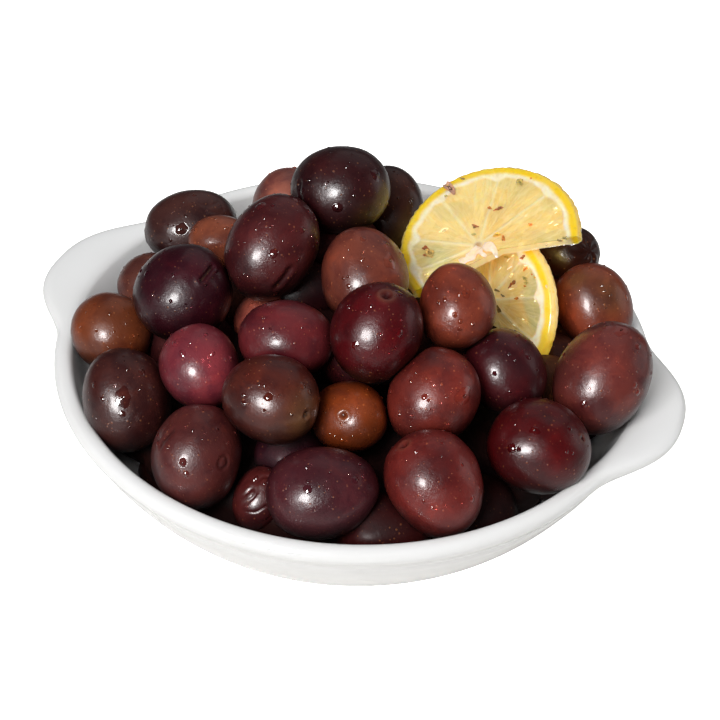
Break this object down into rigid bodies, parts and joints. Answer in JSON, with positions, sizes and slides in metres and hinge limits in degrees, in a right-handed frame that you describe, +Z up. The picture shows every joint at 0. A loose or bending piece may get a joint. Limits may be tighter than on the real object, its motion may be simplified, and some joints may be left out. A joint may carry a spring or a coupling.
{
  "type": "dish of olives",
  "caption": "Eared white porcelain dish heaped with dark purple and brown table olives, with lemon slices and dried herbs tucked into the heap.",
  "frame": {"origin": "middle of the foot on the surface that the dish stands on", "axes": "+X through the middle of the ear that the pictured side has on its right, +Z up, +Y towards the far side of the heap"},
  "size_m": [0.1805, 0.1596, 0.0794],
  "materials": {
    "porcelain": "glossy white glaze",
    "olive_skin": "moist dark purple to brown fruit skin with pale specks",
    "lemon": "wet translucent flesh with a white pith and a yellow peel",
    "brine": "clear droplets of brine",
    "herbs": "dried herb flakes, green to red brown"
  },
  "bodies": {
    "root": {"dish": "porcelain", "olive_heap": "olive_skin", "lemon_slice_upper": "lemon", "lemon_slice_lower": "lemon"}
  },
  "joints": []
}
